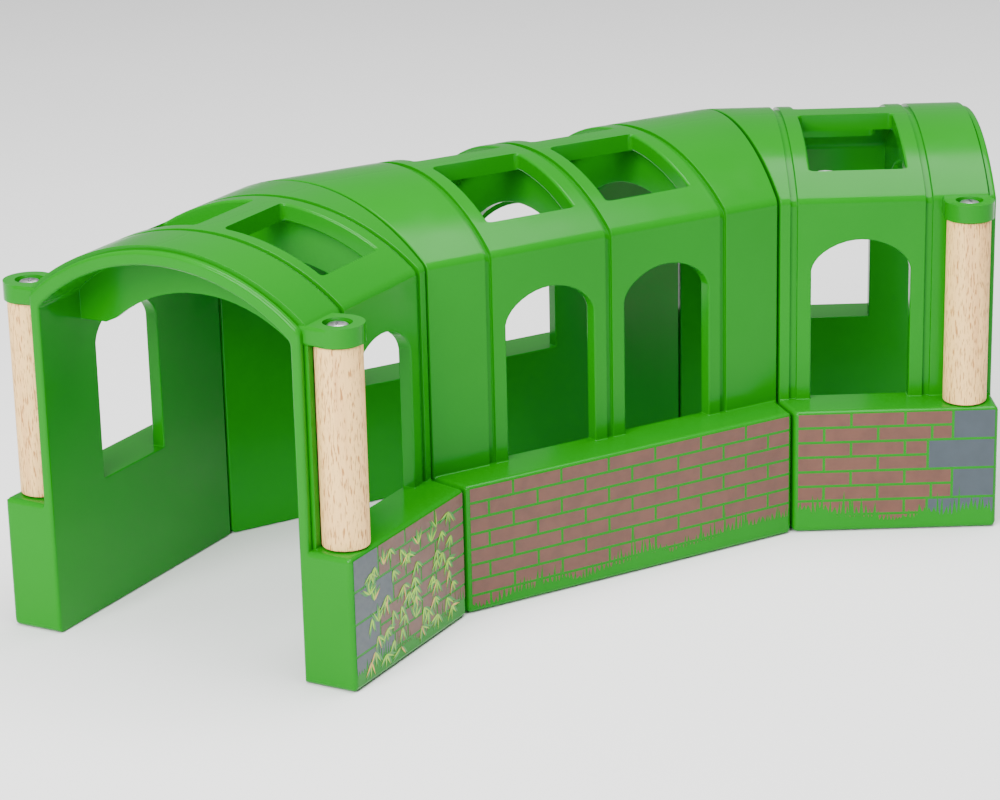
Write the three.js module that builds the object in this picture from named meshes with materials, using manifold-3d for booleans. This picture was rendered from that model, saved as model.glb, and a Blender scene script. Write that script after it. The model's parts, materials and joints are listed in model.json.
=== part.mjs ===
// Toy railway tunnel in three wedge-ended sections, for wooden track.
// Millimetres, +Z up. +X runs along the middle section, and the inside of the bend faces -Y.
// Each section is first made in its own frame: y along the track, x across it, with +x on the
// inside of the bend. The origin of the whole is the centre of its footprint on the floor.
import * as THREE from 'three';
import { mergeVertices } from 'three/addons/utils/BufferGeometryUtils.js';
import Module from 'manifold-3d';

// ---- Driving dimensions -----------------------------------------------------------------
const INNER_WIDTH = 80;          // clear width between the inside wall faces
const WALL = 4;                  // side wall above the plinth
const PLINTH_DEPTH = 16.4;       // each plinth, from the inside face to its outer face
const PLINTH_HEIGHT = 38;
const EAVE_HEIGHT = 99.5;        // outside, where the wall meets the roof
const ROOF_RISE = 16.5;          // outside, eave to ridge
const SPRING_DROP = 4.2;         // inside, where the wall meets the ceiling, below the eave
const ROOF_THICKNESS = 5;        // at the ridge

const MIDDLE_SHORT_SIDE = 113.4; // plinth length on the inside of the bend
const END_SHORT_SIDE = 61.2;
const MITRE_DEG = 15;            // each mating end face is turned by this much
const JOINT_GAP = 0.8;           // between two mating faces, closed

const PORTAL_BAY = 20;           // portal face to the first groove
const WINDOW_BAY = 40;           // groove to groove
const GROOVE_WIDTH = 2.1;
const GROOVE_DEPTH = 1;
const LIP_LENGTH = 2;            // portal lip, stepped in from the wall and roof
const LIP_STEP = 1;

const WINDOW_WIDTH = 29.5;
const WINDOW_RISE = 7.3;         // from where the window's arch starts to its top
const WINDOW_TO_EAVE = 12.4;     // window's top, below the eave
const SKYLIGHT_LENGTH = 28.5;
const RIDGE_BAR = 8.6;           // solid bar between a pair of skylights
const SKYLIGHT_TO_WALL = 8.9;    // skylight's eave edge, in from the wall's outer face

const RIB_THICKNESS = 1.8;       // stiffening rib inside, under each groove
const RIB_FOOT_DROP = 12.7;      // rib's flat foot, below the eave
const RIB_FOOT_WIDTH = 10;       // rib's flat foot, in from the inside wall face
const RIB_DEPTH = 12.4;          // below the ceiling at the crown

const POST_DIAMETER = 13;
const POST_FROM_PORTAL = 9.2;    // post axis, back from the portal face
const POST_INSET = 7.2;          // post axis, in from the plinth's outer face
const EAR_MARGIN = 0.8;          // how far the ear reaches past its post's side
const EAR_ABOVE_EAVE = 0.2;
const EAR_THICKNESS = 5.2;
const PILOT_LENGTH = 18;         // screw hole in each end of a post

const SHANK_DIAMETER = 3;
const HEAD_DIAMETER = 6.5;
const HEAD_HEIGHT = 2;
const TOP_SCREW_LENGTH = 18;     // under the head
const BASE_SCREW_LENGTH = 22;
const HEAD_RECESS_CLEARANCE = 0.75;

const SHELL_WALL = 2.5;          // moulded wall round the hollow in a plinth
const BOSS_RADIUS = 4.2;
const BOSS_LENGTH = 10;
const PLATE_THICKNESS = 2;
const PLATE_SHOULDER = 1.1;      // ledge that the base plate closes against
const PLATE_SETBACK = 0.5;       // plate's underside above the floor

const FIT_GAP = 0.3;             // between pieces that touch
const EDGE_RADIUS = 1.5;         // along the plinth's top edge
const ROOF_STEPS = 24;
const ROUND_STEPS = 20;
const SCREW_STEPS = 16;

// A screw's shape, as shares of its head's or its shank's size.
const HEAD_RIM = 0.4;            // height of the head's upright rim
const CROWN_RADIUS = 0.8;
const CROWN_HEIGHT_SHARE = 0.88;
const SLOT_REACH = 0.29;
const SLOT_HALF_WIDTH = 0.07;
const SLOT_FLOOR = 0.3;
const TIP_RADIUS = 0.75;
const TIP_LENGTH = 4;
const POST_CHAMFER = 0.5;

// ---- Sizes that follow ------------------------------------------------------------------
const MITRE = THREE.MathUtils.degToRad(MITRE_DEG);
const INNER_HALF = INNER_WIDTH / 2;
const WALL_HALF = INNER_HALF + WALL;
const PLINTH_HALF = INNER_HALF + PLINTH_DEPTH;
const RIDGE_HEIGHT = EAVE_HEIGHT + ROOF_RISE;
const CROWN_HEIGHT = RIDGE_HEIGHT - ROOF_THICKNESS;
const WEDGE = 2 * PLINTH_HALF * Math.tan(MITRE);      // how much longer the long side is, per mitre
const MIDDLE_LONG_SIDE = MIDDLE_SHORT_SIDE + 2 * WEDGE;
const END_LONG_SIDE = END_SHORT_SIDE + WEDGE;
const SPRING_HEIGHT = EAVE_HEIGHT - SPRING_DROP;
const WINDOW_TOP = EAVE_HEIGHT - WINDOW_TO_EAVE;
const WINDOW_SHOULDER = WINDOW_TOP - WINDOW_RISE;
const SKYLIGHT_OUTER = WALL_HALF - SKYLIGHT_TO_WALL;
const RIB_FOOT_HEIGHT = EAVE_HEIGHT - RIB_FOOT_DROP;
const RIB_ARCH_HALF = INNER_HALF - RIB_FOOT_WIDTH;
const RIB_CROWN_HEIGHT = CROWN_HEIGHT - RIB_DEPTH;
const POST_X = PLINTH_HALF - POST_INSET;
const EAR_RADIUS = POST_DIAMETER / 2 + EAR_MARGIN;
const EAR_TOP = EAVE_HEIGHT + EAR_ABOVE_EAVE;
const EAR_BOTTOM = EAR_TOP - EAR_THICKNESS;
const POST_BOTTOM = PLINTH_HEIGHT + FIT_GAP;
const POST_LENGTH = EAR_BOTTOM - FIT_GAP - POST_BOTTOM;
const HEAD_RECESS_DEPTH = HEAD_HEIGHT + FIT_GAP;
const HOLE_RADIUS = SHANK_DIAMETER / 2 + FIT_GAP;
const BEYOND = 20;               // how far a cutter runs past what it cuts
const FUSE = 0.5;                // how far a joined piece runs into what it joins

const COLORS = { green: 0x4ba541, beech: 0xf0d9bb, zinc: 0xb9bcc0 };
const finish = (color, roughness, metalness) => (
  () => new THREE.MeshStandardMaterial({ color, roughness, metalness }));
const plastic = finish(COLORS.green, 0.25, 0);
const beech = finish(COLORS.beech, 0.7, 0);
const zinc = finish(COLORS.zinc, 0.3, 1);

// ---- Solids: closed meshes that can be joined and cut -------------------------------------
const wasm = await Module();
wasm.setup();

function solid(geometry) {
  const bare = geometry.clone();
  bare.deleteAttribute('normal');
  bare.deleteAttribute('uv');
  const merged = mergeVertices(bare, 1e-4);
  return new wasm.Manifold(new wasm.Mesh({
    numProp: 3,
    vertProperties: new Float32Array(merged.attributes.position.array),
    triVerts: new Uint32Array(merged.index.array),
  }));
}

function geometryOf(manifold) {
  const mesh = manifold.getMesh();
  const geometry = new THREE.BufferGeometry();
  geometry.setAttribute('position', new THREE.BufferAttribute(new Float32Array(mesh.vertProperties), 3));
  geometry.setIndex(new THREE.BufferAttribute(new Uint32Array(mesh.triVerts), 1));
  return geometry;
}

// A box from its lowest corner to its highest.
function block(x0, y0, z0, x1, y1, z1) {
  const box = new THREE.BoxGeometry(x1 - x0, y1 - y0, z1 - z0);
  box.translate((x0 + x1) / 2, (y0 + y1) / 2, (z0 + z1) / 2);
  return solid(box);
}

// A cross-section drawn in x and z, run along y from y0 to y1.
function runAlong(shape, y0, y1) {
  const bar = new THREE.ExtrudeGeometry(shape, { depth: y1 - y0, bevelEnabled: false, steps: 1 });
  bar.rotateX(Math.PI / 2);
  bar.translate(0, y1, 0);
  return solid(bar);
}

// An outline drawn in y and z, run across x from x0 to x1.
function runAcross(shape, x0, x1) {
  const bar = new THREE.ExtrudeGeometry(shape, { depth: x1 - x0, bevelEnabled: false, steps: 1 });
  bar.rotateX(Math.PI / 2);
  bar.rotateZ(Math.PI / 2);
  bar.translate(x0, 0, 0);
  return solid(bar);
}

// A plan drawn in x and y, run up from z0 to z1.
function runUp(points, z0, z1) {
  const shape = new THREE.Shape(points.map(([x, y]) => new THREE.Vector2(x, y)));
  const slab = new THREE.ExtrudeGeometry(shape, { depth: z1 - z0, bevelEnabled: false, steps: 1 });
  slab.translate(0, 0, z0);
  return solid(slab);
}

function rod(x, y, z0, z1, radius, steps = ROUND_STEPS) {
  const bar = new THREE.CylinderGeometry(radius, radius, z1 - z0, steps);
  bar.rotateX(Math.PI / 2);
  bar.translate(x, y, (z0 + z1) / 2);
  return solid(bar);
}

// ---- Cross-sections -----------------------------------------------------------------------
// Points on a circular arch over x = -half..half that springs at z = spring and peaks at crown.
function archPoints(half, spring, crown, steps) {
  const rise = crown - spring;
  const radius = (half * half + rise * rise) / (2 * rise);
  const sweep = Math.asin(half / radius);
  return Array.from({ length: steps + 1 }, (_, i) => {
    const angle = -sweep + (2 * sweep * i) / steps;
    return new THREE.Vector2(radius * Math.sin(angle), crown - radius + radius * Math.cos(angle));
  });
}

// Three points that round a corner between two straight edges at right angles.
function roundCorner(x, z, dx, dz, radius) {
  return [75, 45, 15].map((deg) => {
    const angle = THREE.MathUtils.degToRad(deg);
    return new THREE.Vector2(
      x + dx * radius * (1 - Math.sin(angle)), z + dz * radius * (1 - Math.cos(angle)));
  });
}

// The outside of a section: plinths, walls and roof.
function outerShape() {
  const roof = archPoints(WALL_HALF, EAVE_HEIGHT, RIDGE_HEIGHT, ROOF_STEPS);
  const right = [
    new THREE.Vector2(PLINTH_HALF, 0),
    ...roundCorner(PLINTH_HALF, PLINTH_HEIGHT, -1, -1, EDGE_RADIUS),
    new THREE.Vector2(WALL_HALF, PLINTH_HEIGHT),
  ];
  const left = right.map((p) => new THREE.Vector2(-p.x, p.y)).reverse();
  return new THREE.Shape([...right, ...roof.reverse(), ...left]);
}

// The wall and roof only, solid down to the plinth's top, for cutting steps and grooves.
function hoodShape(inset) {
  const wall = WALL_HALF - inset;
  const roof = archPoints(wall, EAVE_HEIGHT - inset, RIDGE_HEIGHT - inset, ROOF_STEPS);
  return new THREE.Shape([
    new THREE.Vector2(-wall, 0), new THREE.Vector2(wall, 0), ...roof.reverse()]);
}

function innerShape() {
  const ceiling = archPoints(INNER_HALF, SPRING_HEIGHT, CROWN_HEIGHT, ROOF_STEPS);
  return new THREE.Shape([
    new THREE.Vector2(-INNER_HALF, -BEYOND), new THREE.Vector2(INNER_HALF, -BEYOND),
    ...ceiling.reverse()]);
}

// What a rib leaves of the space inside: its flat feet and its arched lower edge, and up.
function ribShape() {
  const edge = archPoints(RIB_ARCH_HALF, RIB_FOOT_HEIGHT, RIB_CROWN_HEIGHT, ROOF_STEPS / 2);
  const top = RIDGE_HEIGHT + BEYOND;
  return new THREE.Shape([
    new THREE.Vector2(PLINTH_HALF, RIB_FOOT_HEIGHT), new THREE.Vector2(PLINTH_HALF, top),
    new THREE.Vector2(-PLINTH_HALF, top), new THREE.Vector2(-PLINTH_HALF, RIB_FOOT_HEIGHT),
    ...edge]);
}

function windowShape(y) {
  const arch = archPoints(WINDOW_WIDTH / 2, WINDOW_SHOULDER, WINDOW_TOP, ROUND_STEPS / 2);
  return new THREE.Shape([
    new THREE.Vector2(y - WINDOW_WIDTH / 2, PLINTH_HEIGHT),
    new THREE.Vector2(y + WINDOW_WIDTH / 2, PLINTH_HEIGHT),
    ...arch.reverse().map((p) => new THREE.Vector2(p.x + y, p.y))]);
}

// ---- Cuts that the sections share ---------------------------------------------------------
const cutGroove = (body, y) => body.subtract(
  block(-PLINTH_HALF - BEYOND, y - GROOVE_WIDTH / 2, PLINTH_HEIGHT,
    PLINTH_HALF + BEYOND, y + GROOVE_WIDTH / 2, RIDGE_HEIGHT + BEYOND)
    .subtract(runAlong(hoodShape(GROOVE_DEPTH), y - GROOVE_WIDTH, y + GROOVE_WIDTH)));

const cutWindows = (body, y) => body.subtract(
  runAcross(windowShape(y), -PLINTH_HALF - BEYOND, PLINTH_HALF + BEYOND));

function cutSkylights(body, y) {
  let cut = body;
  for (const side of [-1, 1]) {
    const [x0, x1] = [side * RIDGE_BAR / 2, side * SKYLIGHT_OUTER].sort((a, b) => a - b);
    cut = cut.subtract(block(x0, y - SKYLIGHT_LENGTH / 2, WINDOW_TOP,
      x1, y + SKYLIGHT_LENGTH / 2, RIDGE_HEIGHT + BEYOND));
  }
  return cut;
}

// Everything past a mitred end. The end passes through (PLINTH_HALF, y) and runs outwards to
// the long side; toward is +1 when the section lies at smaller y, -1 when it lies at larger y.
function pastMitre(y, toward) {
  const reach = 4 * PLINTH_HALF;
  const slab = new THREE.BoxGeometry(2 * reach, reach, 2 * reach);
  slab.translate(0, toward * (reach / 2 - JOINT_GAP / 2), 0);
  slab.rotateZ(-toward * MITRE);
  slab.translate(PLINTH_HALF, y, 0);
  return solid(slab);
}

// Plan of one plinth, side +1 inside the bend, grown or shrunk by `inset`, between two ends.
// An end is {y, lean}: y at the inside of the bend, and lean +1, 0 or -1 for how it is mitred.
function plinthPlan(side, near, far, inset) {
  const x0 = side * (INNER_HALF + inset);
  const x1 = side * (PLINTH_HALF - inset);
  const at = (end, x, pull) => end.y + end.lean * (PLINTH_HALF - x) * Math.tan(MITRE)
    + pull * (end.lean ? (inset + JOINT_GAP / 2) / Math.cos(MITRE) : inset);
  const plan = [
    [x0, at(near, x0, 1)], [x1, at(near, x1, 1)], [x1, at(far, x1, -1)], [x0, at(far, x0, -1)]];
  return side > 0 ? plan : plan.reverse();
}

function hollowPlinth(body, side, near, far, bosses) {
  let hollow = runUp(plinthPlan(side, near, far, SHELL_WALL), -BEYOND, PLINTH_HEIGHT - SHELL_WALL);
  for (const y of bosses) {
    hollow = hollow.subtract(rod(side * POST_X, y, PLINTH_HEIGHT - SHELL_WALL - BOSS_LENGTH,
      PLINTH_HEIGHT, BOSS_RADIUS));
  }
  const seat = runUp(plinthPlan(side, near, far, SHELL_WALL - PLATE_SHOULDER),
    -BEYOND, PLATE_SETBACK + PLATE_THICKNESS + FIT_GAP);
  return body.subtract(hollow).subtract(seat);
}

function basePlate(side, near, far) {
  return runUp(plinthPlan(side, near, far, SHELL_WALL - PLATE_SHOULDER + FIT_GAP),
    PLATE_SETBACK, PLATE_SETBACK + PLATE_THICKNESS);
}

// ---- Section shells -----------------------------------------------------------------------
function hood(y0, y1, ribs) {
  let space = runAlong(innerShape(), y0 - BEYOND, y1 + BEYOND);
  for (const y of ribs) {
    space = space.subtract(runAlong(ribShape(), y - RIB_THICKNESS / 2, y + RIB_THICKNESS / 2));
  }
  return runAlong(outerShape(), y0, y1).subtract(space);
}

// The half-round ear that holds a post's top, with its screw hole and head recess.
function ear(side, y) {
  const x = side * POST_X;
  const [x0, x1] = [side * (INNER_HALF + FUSE), x].sort((a, b) => a - b);
  return rod(x, y, EAR_BOTTOM, EAR_TOP, EAR_RADIUS)
    .add(block(x0, y - EAR_RADIUS, EAR_BOTTOM, x1, y + EAR_RADIUS, EAR_TOP));
}

const portalEnd = { y: 0, lean: 0 };
const endMitre = { y: END_SHORT_SIDE, lean: 1 };
const middleNear = { y: -MIDDLE_SHORT_SIDE / 2, lean: -1 };
const middleFar = { y: MIDDLE_SHORT_SIDE / 2, lean: 1 };

function endShell() {
  const windowY = PORTAL_BAY + WINDOW_BAY / 2;
  const grooves = [PORTAL_BAY, PORTAL_BAY + WINDOW_BAY];
  let body = hood(0, END_LONG_SIDE + BEYOND, grooves);
  body = body.subtract(
    block(-PLINTH_HALF - BEYOND, -BEYOND, PLINTH_HEIGHT,
      PLINTH_HALF + BEYOND, LIP_LENGTH, RIDGE_HEIGHT + BEYOND)
      .subtract(runAlong(hoodShape(LIP_STEP), -2 * BEYOND, 2 * LIP_LENGTH)));
  for (const side of [-1, 1]) body = body.add(ear(side, POST_FROM_PORTAL));
  for (const y of grooves) body = cutGroove(body, y);
  body = cutSkylights(cutWindows(body, windowY), windowY);
  for (const side of [-1, 1]) {
    const x = side * POST_X;
    body = hollowPlinth(body, side, portalEnd, endMitre, [POST_FROM_PORTAL]);
    body = body
      .subtract(rod(x, POST_FROM_PORTAL, POST_BOTTOM - FIT_GAP, EAR_BOTTOM, POST_DIAMETER / 2 + FIT_GAP))
      .subtract(rod(x, POST_FROM_PORTAL, 0, RIDGE_HEIGHT, HOLE_RADIUS))
      .subtract(rod(x, POST_FROM_PORTAL, EAR_TOP - HEAD_RECESS_DEPTH, RIDGE_HEIGHT,
        HEAD_DIAMETER / 2 + HEAD_RECESS_CLEARANCE));
  }
  return body.subtract(pastMitre(END_SHORT_SIDE, 1));
}

function middleShell() {
  const reach = MIDDLE_LONG_SIDE / 2 + BEYOND;
  let body = hood(-reach, reach, [-WINDOW_BAY, 0, WINDOW_BAY]);
  for (const y of [-WINDOW_BAY, 0, WINDOW_BAY]) body = cutGroove(body, y);
  for (const y of [-WINDOW_BAY / 2, WINDOW_BAY / 2]) body = cutSkylights(cutWindows(body, y), y);
  for (const side of [-1, 1]) body = hollowPlinth(body, side, middleNear, middleFar, []);
  return body
    .subtract(pastMitre(MIDDLE_SHORT_SIDE / 2, 1))
    .subtract(pastMitre(-MIDDLE_SHORT_SIDE / 2, -1));
}

// ---- Posts and screws ---------------------------------------------------------------------
function turned(points, steps = ROUND_STEPS) {
  const piece = new THREE.LatheGeometry(points.map(([r, z]) => new THREE.Vector2(r, z)), steps);
  piece.rotateX(Math.PI / 2);
  return piece;
}

// A beech post standing on z = 0, with a screw hole in each end.
function postGeometry() {
  const r = POST_DIAMETER / 2;
  const top = POST_LENGTH;
  const body = solid(turned([
    [0, 0], [r - POST_CHAMFER, 0], [r, POST_CHAMFER], [r, top - POST_CHAMFER],
    [r - POST_CHAMFER, top], [0, top]], 2 * ROUND_STEPS));
  return geometryOf(body
    .subtract(rod(0, 0, -FUSE, PILOT_LENGTH, HOLE_RADIUS, SCREW_STEPS))
    .subtract(rod(0, 0, top - PILOT_LENGTH, top + FUSE, HOLE_RADIUS, SCREW_STEPS)));
}

// A pan-head screw with a cross recess: the head's bearing face is z = 0 and its shank hangs down.
function screwGeometry(length) {
  const head = HEAD_DIAMETER / 2;
  const shank = SHANK_DIAMETER / 2;
  const body = solid(turned([
    [0, -length], [shank * TIP_RADIUS, TIP_LENGTH - length], [shank, 1.5 * TIP_LENGTH - length],
    [shank, 0], [head, 0], [head, HEAD_HEIGHT * HEAD_RIM],
    [head * CROWN_RADIUS, HEAD_HEIGHT * CROWN_HEIGHT_SHARE], [0, HEAD_HEIGHT]], SCREW_STEPS));
  const reach = HEAD_DIAMETER * SLOT_REACH;
  const half = HEAD_DIAMETER * SLOT_HALF_WIDTH;
  const floor = HEAD_HEIGHT * SLOT_FLOOR;
  const above = HEAD_HEIGHT + FUSE;
  return geometryOf(body
    .subtract(block(-reach, -half, floor, reach, half, above))
    .subtract(block(-half, -reach, floor, half, reach, above)));
}

// ---- Assembly -----------------------------------------------------------------------------
function piece(name, geometry, material, position = [0, 0, 0]) {
  geometry.computeVertexNormals();
  const mesh = new THREE.Mesh(geometry, material);
  mesh.name = name;
  mesh.position.set(...position);
  return mesh;
}

// The rear section is the front section's mirror image along the track.
function mirrored(geometry) {
  const copy = geometry.clone();
  copy.scale(1, -1, 1);
  const index = copy.index.array;
  for (let i = 0; i < index.length; i += 3) [index[i], index[i + 1]] = [index[i + 1], index[i]];
  return copy;
}

const SIDES = { inner: 1, outer: -1 };
const TOP_HEAD_Z = EAR_TOP - HEAD_RECESS_DEPTH + FIT_GAP;
const BASE_HEAD_Z = PLINTH_HEIGHT - SHELL_WALL - BOSS_LENGTH - FIT_GAP;

function endSection(name, flip) {
  const shaped = (manifold) => (flip ? mirrored(geometryOf(manifold)) : geometryOf(manifold));
  const section = new THREE.Group();
  section.add(piece(`${name}_section_shell`, shaped(endShell()), plastic()));
  for (const [label, side] of Object.entries(SIDES)) {
    const x = side * POST_X;
    const y = (flip ? -1 : 1) * POST_FROM_PORTAL;
    const post = `${name}_${label}_post`;
    const plate = shaped(basePlate(side, portalEnd, endMitre));
    section.add(piece(`${name}_${label}_base_plate`, plate, plastic()));
    section.add(piece(post, postGeometry(), beech(), [x, y, POST_BOTTOM]));
    section.add(piece(`${post}_top_screw`, screwGeometry(TOP_SCREW_LENGTH), zinc(), [x, y, TOP_HEAD_Z]));
    const screw = screwGeometry(BASE_SCREW_LENGTH);
    const baseScrew = piece(`${post}_base_screw`, screw, zinc(), [x, y, BASE_HEAD_Z]);
    baseScrew.rotation.x = Math.PI;
    section.add(baseScrew);
  }
  return section;
}

function middleSection() {
  const section = new THREE.Group();
  section.add(piece('middle_section_shell', geometryOf(middleShell()), plastic()));
  for (const [label, side] of Object.entries(SIDES)) {
    const plate = geometryOf(basePlate(side, middleNear, middleFar));
    section.add(piece(`middle_${label}_base_plate`, plate, plastic()));
  }
  return section;
}

// An end section turns about the outer corner of its joint. Closed, the two mitred faces meet,
// so it stands turned by twice the mitre.
function hung(section, flip) {
  const sign = flip ? -1 : 1;
  section.position.set(PLINTH_HALF, -sign * END_LONG_SIDE, 0);
  const pivot = new THREE.Group();
  pivot.add(section);
  pivot.position.set(-PLINTH_HALF, -sign * MIDDLE_LONG_SIDE / 2, 0);
  pivot.rotation.z = sign * 2 * MITRE;
  return pivot;
}

const tunnel = new THREE.Group();
tunnel.add(middleSection(), hung(endSection('front', false), false), hung(endSection('rear', true), true));
tunnel.rotation.z = -Math.PI / 2;

const group = new THREE.Group();
group.add(tunnel);
group.updateMatrixWorld(true);
const footprint = new THREE.Box3().setFromObject(group, true);
tunnel.position.set(-(footprint.min.x + footprint.max.x) / 2, -(footprint.min.y + footprint.max.y) / 2, 0);
group.updateMatrixWorld(true);

export default group;
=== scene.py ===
"""A toy railway tunnel in three wedge-ended sections, with its beech posts, screws and printed
brickwork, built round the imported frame.

Building functions work in millimetres in a section's own space: x across the track with +x on the
inside of the bend, y along the track, z up. An end section is measured from its portal face, the
middle one from its middle. section_matrix() takes that space to the frame's metres. Posts and
screws are made about their own axis and then moved to the box of the part they stand for.
"""
import json
import math
import random

import bmesh
import bpy
from bpy.props import FloatProperty, FloatVectorProperty, IntProperty, PointerProperty
from mathutils import Matrix, Vector


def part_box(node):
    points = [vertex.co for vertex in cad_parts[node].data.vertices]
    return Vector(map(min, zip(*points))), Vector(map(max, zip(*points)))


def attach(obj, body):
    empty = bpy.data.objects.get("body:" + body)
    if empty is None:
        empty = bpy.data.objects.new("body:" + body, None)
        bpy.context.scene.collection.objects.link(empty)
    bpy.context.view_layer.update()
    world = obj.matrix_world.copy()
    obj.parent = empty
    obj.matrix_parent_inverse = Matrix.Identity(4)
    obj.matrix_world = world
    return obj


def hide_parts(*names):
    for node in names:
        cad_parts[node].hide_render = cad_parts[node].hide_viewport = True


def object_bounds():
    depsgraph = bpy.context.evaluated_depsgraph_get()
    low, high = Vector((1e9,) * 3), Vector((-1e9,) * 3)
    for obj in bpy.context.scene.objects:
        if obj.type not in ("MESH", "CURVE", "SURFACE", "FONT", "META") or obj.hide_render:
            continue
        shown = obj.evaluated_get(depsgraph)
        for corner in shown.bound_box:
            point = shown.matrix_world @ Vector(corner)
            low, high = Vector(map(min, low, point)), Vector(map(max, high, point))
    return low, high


bl_info = {
    "name": "Toy railway tunnel",
    "version": (1, 0, 0),
    "blender": (4, 5, 0),
    "location": "View3D > Sidebar > Tunnel",
    "description": "Builds a three-section toy railway tunnel round its packed frame",
    "category": "Add Mesh",
}

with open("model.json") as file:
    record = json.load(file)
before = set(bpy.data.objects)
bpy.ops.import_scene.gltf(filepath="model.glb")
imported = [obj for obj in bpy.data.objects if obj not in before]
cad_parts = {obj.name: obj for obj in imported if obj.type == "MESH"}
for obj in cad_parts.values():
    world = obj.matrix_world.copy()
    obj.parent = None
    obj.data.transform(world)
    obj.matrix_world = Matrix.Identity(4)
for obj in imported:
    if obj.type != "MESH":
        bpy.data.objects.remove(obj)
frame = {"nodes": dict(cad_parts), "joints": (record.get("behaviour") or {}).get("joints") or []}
CAD_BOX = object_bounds()
MIDDLE_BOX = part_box("middle_section_shell")
MM = 0.001
SECTIONS = ("front", "middle", "rear")
SIDES = {"inner": 1, "outer": -1}

PLINTH_HALF = (MIDDLE_BOX[1].y - MIDDLE_BOX[0].y) / 2 / MM
MITRE = math.radians(frame["joints"][0]["range_deg"][1]) / 2

# The visible plinth face stands back by INK_ROOM, so that the ink stays inside the CAD's box.
INK_ROOM = 0.24
FACE_X = PLINTH_HALF - INK_ROOM

# Measures of the moulding, in millimetres, that a user would not change on their own.
WALL_X = 44.0            # outside of the wall
INNER_X = 40.0           # inside of the wall
LEDGE_Z = 38.0           # top of the plinths
EAVE_Z = 99.5
RIDGE_Z = 116.0
SPRING_Z = 95.3          # where the roof's underside springs from the wall
CROWN_Z = 111.0
EAVE_REACH = 1.3         # width of the rounded crease at the eave, outside
SPRING_REACH = 1.2       # the same, inside
ROOF_STEPS = 9           # lines on each half of the roof between its skylight and the ridge
JOINT_SETBACK = 0.4      # a mitred end face stands back this far from the joint's plane
END_SHORT_SIDE = 61.2
MIDDLE_SHORT_SIDE = 113.4
GROOVE_HALF = 1.05
GROOVE_DEPTH = 1.0
RIB_HALF = 0.9
RIB_FOOT_Z = 86.8
RIB_ARCH_HALF = 30.0
RIB_CROWN_Z = 98.6
LIP_END = 2.0
LIP_STEP = 1.0
BEAD_END = 2.6           # a fine sunk line behind the lip
BEAD_STEP = 1.5
TOUCH = 0.1              # an edge this near to a line counts as on it
BAY = 40.0
FIRST_GROOVE = 20.0
WINDOW_HALF = 14.75
WINDOW_SPRING_Z = 79.8
WINDOW_CROWN_Z = 87.1
SHOULDER_REACH = 3.2     # how far the window's rounded shoulder runs in from the jamb
SHOULDER_DROP = 1.7
ARCH_STATIONS = (13.6, 12.6, 11.2, 9.2, 6.8, 4.4, 2.2, 0.0)   # from a window's middle
SKYLIGHT_HALF = 14.25
HEAD_LINE_Z = 91.0       # a line along the wall, clear of the window's crown
RIDGE_BAR_X = 4.3
SKYLIGHT_X = 35.1
POST_X = 49.2
POST_Y = 9.2
EAR_RADIUS = 7.3
EAR_TOP_Z = 99.7
EAR_BOTTOM_Z = 94.5
EAR_ROOT_X = INNER_X + 1.5     # the ear starts inside the wall, so that the two unite
EAR_EDGE = 1.0
POST_SOCKET_RADIUS = 6.8
SCREW_HOLE_RADIUS = 1.8
COUNTERBORE_RADIUS = 4.0
COUNTERBORE_DEPTH = 2.3
CLEAR_ABOVE = 120        # a tool that cuts out through the top ends here
CLEAR_BELOW = -5         # and one that cuts out through the foot starts here
SEAT_TOP_Z = 2.8         # pocket for the base plate
SEAT_INSET = 1.4
HOLLOW_INSET = 2.5
HOLLOW_TOP_Z = 35.5
BOSS_Z = 25.5            # underside of the boss that takes a post's base screw
BOSS_TOP_Z = 50          # above the hollow, so that the boss joins its ceiling
BOSS_RADIUS = 4.2

# The posts and screws, in millimetres.
POST_EDGE = 0.5
POST_EDGE_MIDDLE = 0.15
PILOT_DEPTH = 18
TOP_SCREW = 18.0
BASE_SCREW = 22.0
SCREW_HEAD = 2.0
SCREW_HEAD_PROFILE = ((1.5, 0.0), (3.1, 0.0), (3.25, 0.15), (3.25, 0.75), (3.05, 1.15),
                      (2.6, 1.55), (1.7, 1.85), (0.8, 1.97), (0, SCREW_HEAD))
THREAD_PITCH = 0.9
THREAD_TAPER = 4.5       # the thread grows to its full width over this length of its tip
CROSS_HALF_LENGTH = 1.9
CROSS_HALF_WIDTH = 0.42
CROSS_FLOOR = 0.6

# The print on the plinths' outer faces, in millimetres.
PRINT_MARGIN = 1.1       # bare plastic beside the print, at each end of a face
PRINT_TOP = 37.1
PRINT_FLOOR = 1.5
COURSES = 8
SHORTEST_BRICK = 1.0
SHORT_STONE, LONG_STONE = 13.2, 20.6
BRICK_SEEDS = {"front": 11, "middle": 23, "rear": 37}
OUTER_SEED_STEP = 5
PRINT_LIFT = 0.01        # the lowest ink stands this far off the plastic

# Height of the bare grass on each section's faces: at the start, at the far end, and how much
# it dips between them. Its swells are (height, turn per mm, seed's share).
GRASS = {"front": (6.5, 5.0, 0.5), "middle": (2.8, 7.2, 0.0), "rear": (7.5, 8.4, 3.0)}
GRASS_SWELLS = ((0.8, 0.17, 1), (0.5, 0.41, 2))
LOWEST_GRASS = 1.8
BLADE_START = 0.3
BLADE_STOP = 0.8         # blades end this far before the end of a face
BLADE_WIDTH = (0.75, 1.40)
BLADE_FOOT = (0.7, 0.95)      # share of the grass's height where a blade's foot stands
BLADE_HEIGHTS = (1.0, 1.9, 3.0, 4.4)
BLADE_SPREAD = (0.7, 1.1)
BLADE_TIP = (0.15, 0.85)      # where over its width a blade's tip is
BLADE_GAP = (0.02, 0.35)

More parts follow.
